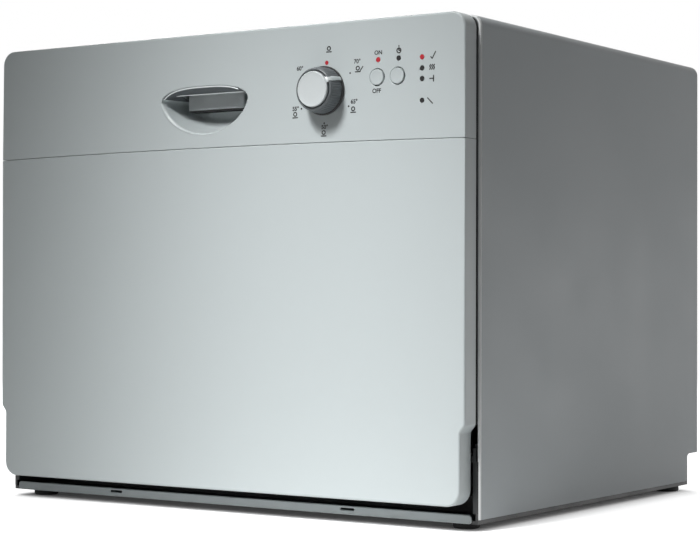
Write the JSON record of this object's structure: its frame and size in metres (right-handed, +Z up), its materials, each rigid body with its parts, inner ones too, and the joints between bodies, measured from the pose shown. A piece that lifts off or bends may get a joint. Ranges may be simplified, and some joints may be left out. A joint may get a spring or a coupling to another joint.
{
  "type": "countertop dishwasher",
  "caption": "Compact countertop dishwasher with a drop-down door, scooped pull handle, programme knob, buttons and a roll-out dish rack.",
  "frame": {"origin": "on the ground under the middle of the object's bounding box", "axes": "+Z up, +X to the right as seen from the front, the door faces -Y"},
  "size_m": [0.545, 0.4996, 0.447],
  "materials": {
    "cabinet_paint": "satin",
    "door_paint": "satin",
    "fascia_plastic": "satin",
    "galvanised_steel": "satin",
    "stainless_steel": "satin",
    "heater_steel": "satin",
    "screw_steel": "satin",
    "base_plastic": "matte",
    "grey_plastic": "matte",
    "white_plastic": "satin",
    "clear_plastic": "gloss",
    "dispenser_plastic": "satin",
    "basket_plastic": "satin",
    "handle_plastic": "satin",
    "knob_plastic": "satin",
    "silver_plastic": "satin",
    "lamp_plastic": "gloss",
    "rack_coating": "satin",
    "foot_rubber": "matte",
    "seal_rubber": "matte",
    "felt": "matte",
    "board": "matte"
  },
  "bodies": {
    "root": {"cabinet_wrap": "cabinet_paint", "rear_panel": "galvanised_steel", "base_tray": "base_plastic", "kick_plate": "door_paint", "feet": "foot_rubber", "tub": "stainless_steel", "door_gasket": "seal_rubber", "rack_guide_left": "white_plastic", "rack_guide_right": "white_plastic", "sump": "grey_plastic", "fine_filter": "stainless_steel", "heater": "heater_steel", "softener_tank": "white_plastic", "circulation_pump": "base_plastic", "drain_pump": "base_plastic", "drain_pipe": "grey_plastic", "inlet_valve": "white_plastic", "air_break": "clear_plastic", "cable_gland": "base_plastic", "hinge_bracket_left": "galvanised_steel", "hinge_bracket_right": "galvanised_steel", "strike_plate": "galvanised_steel", "cabinet_screws": "screw_steel"},
    "spray": {"spray_arm": "grey_plastic"},
    "filter": {"coarse_filter": "grey_plastic"},
    "salt": {"salt_cap": "base_plastic"},
    "float": {"float_bell": "white_plastic"},
    "door": {"door_panel": "door_paint", "fascia": "fascia_plastic", "handle_pocket": "fascia_plastic", "door_liner": "stainless_steel", "door_insulation": "felt", "hinge_arm_left": "galvanised_steel", "hinge_arm_right": "galvanised_steel", "control_board": "board", "indicator_lamps": "lamp_plastic", "selector_switch": "base_plastic", "dispenser_body": "dispenser_plastic", "latch_body": "base_plastic", "door_screws": "screw_steel"},
    "handle": {"latch_handle": "handle_plastic"},
    "hook": {"latch_hook": "galvanised_steel"},
    "knob": {"program_knob": "knob_plastic", "knob_cap": "silver_plastic"},
    "start": {"start_button": "silver_plastic"},
    "delay": {"delay_button": "silver_plastic"},
    "lid": {"dispenser_lid": "grey_plastic"},
    "rinse": {"rinse_aid_cap": "grey_plastic"},
    "rack": {"rack_floor": "rack_coating", "rack_left": "rack_coating", "rack_right": "rack_coating", "rack_back": "rack_coating", "rack_front": "rack_coating", "plate_tines": "rack_coating"},
    "wheel_fl": {"rack_wheel_front_left": "white_plastic"},
    "wheel_fr": {"rack_wheel_front_right": "white_plastic"},
    "wheel_rl": {"rack_wheel_rear_left": "white_plastic"},
    "wheel_rr": {"rack_wheel_rear_right": "white_plastic"},
    "basket": {"cutlery_basket": "basket_plastic"},
    "shelf": {"cup_shelf": "rack_coating"}
  },
  "joints": [
    {"name": "door_hinge", "type": "hinge", "parent": "root", "child": "door", "pos_m": [0, -0.20525, 0.062], "axis": [1, 0, 0], "range_deg": [0, 90]},
    {"name": "rack_slide", "type": "slide", "parent": "root", "child": "rack", "axis": [0, -1, 0], "range_m": [0, 0.236]},
    {"name": "handle_pull", "type": "hinge", "parent": "door", "child": "handle", "pos_m": [-0.013, -0.20825, 0.404], "axis": [-1, 0, 0], "range_deg": [0, 18], "stiffness_Nm_per_rad": 0.4, "springref_deg": -5.73},
    {"name": "hook_lift", "type": "hinge", "parent": "door", "child": "hook", "pos_m": [-0.013, -0.19625, 0.4245], "axis": [1, 0, 0], "range_deg": [0, 10]},
    {"name": "knob_turn", "type": "hinge", "parent": "door", "child": "knob", "pos_m": [0.1238, -0.23025, 0.3859], "axis": [0, -1, 0], "continuous": true},
    {"name": "start_press", "type": "slide", "parent": "door", "child": "start", "axis": [0, 1, 0], "range_m": [0, 0.002], "stiffness_N_per_m": 300, "springref_m": -0.001},
    {"name": "delay_press", "type": "slide", "parent": "door", "child": "delay", "axis": [0, 1, 0], "range_m": [0, 0.002], "stiffness_N_per_m": 300, "springref_m": -0.001},
    {"name": "lid_slide", "type": "slide", "parent": "door", "child": "lid", "axis": [1, 0, 0], "range_m": [0, 0.072]},
    {"name": "rinse_cap_turn", "type": "hinge", "parent": "door", "child": "rinse", "pos_m": [0.055, -0.18425, 0.226], "axis": [0, 1, 0], "range_deg": [0, 90]},
    {"name": "spray_turn", "type": "hinge", "parent": "root", "child": "spray", "pos_m": [0, 0.01575, 0.103], "axis": [0, 0, 1], "continuous": true},
    {"name": "filter_turn", "type": "hinge", "parent": "root", "child": "filter", "pos_m": [0.085, -0.05525, 0.09], "axis": [0, 0, 1], "range_deg": [0, 90]},
    {"name": "salt_cap_turn", "type": "hinge", "parent": "root", "child": "salt", "pos_m": [-0.18, 0.15475, 0.09], "axis": [0, 0, 1], "continuous": true},
    {"name": "float_rise", "type": "slide", "parent": "root", "child": "float", "axis": [0, 0, 1], "range_m": [0, 0.006]},
    {"name": "basket_lift", "type": "slide", "parent": "rack", "child": "basket", "axis": [0, 0, 1], "range_m": [0, 0.09]},
    {"name": "shelf_fold", "type": "hinge", "parent": "rack", "child": "shelf", "pos_m": [-0.214, 0.03975, 0.236], "axis": [0, -1, 0], "range_deg": [0, 90]},
    {"name": "wheel_fl_roll", "type": "hinge", "parent": "rack", "child": "wheel_fl", "pos_m": [-0.228, 0.06975, 0.1493], "axis": [1, 0, 0], "range_deg": [0, 1700]},
    {"name": "wheel_fr_roll", "type": "hinge", "parent": "rack", "child": "wheel_fr", "pos_m": [0.228, 0.06975, 0.1493], "axis": [1, 0, 0], "range_deg": [0, 1700]},
    {"name": "wheel_rl_roll", "type": "hinge", "parent": "rack", "child": "wheel_rl", "pos_m": [-0.228, 0.17975, 0.1493], "axis": [1, 0, 0], "range_deg": [0, 1700]},
    {"name": "wheel_rr_roll", "type": "hinge", "parent": "rack", "child": "wheel_rr", "pos_m": [0.228, 0.17975, 0.1493], "axis": [1, 0, 0], "range_deg": [0, 1700]}
  ],
  "couplings": [
    {"joint": "rack_slide", "follows": "door_hinge", "m_per_rad": 0.15},
    {"joint": "hook_lift", "follows": "handle_pull", "ratio": 0.55},
    {"joint": "wheel_fl_roll", "follows": "door_hinge", "ratio": 18.75},
    {"joint": "wheel_fr_roll", "follows": "door_hinge", "ratio": 18.75},
    {"joint": "wheel_rl_roll", "follows": "door_hinge", "ratio": 18.75},
    {"joint": "wheel_rr_roll", "follows": "door_hinge", "ratio": 18.75}
  ]
}
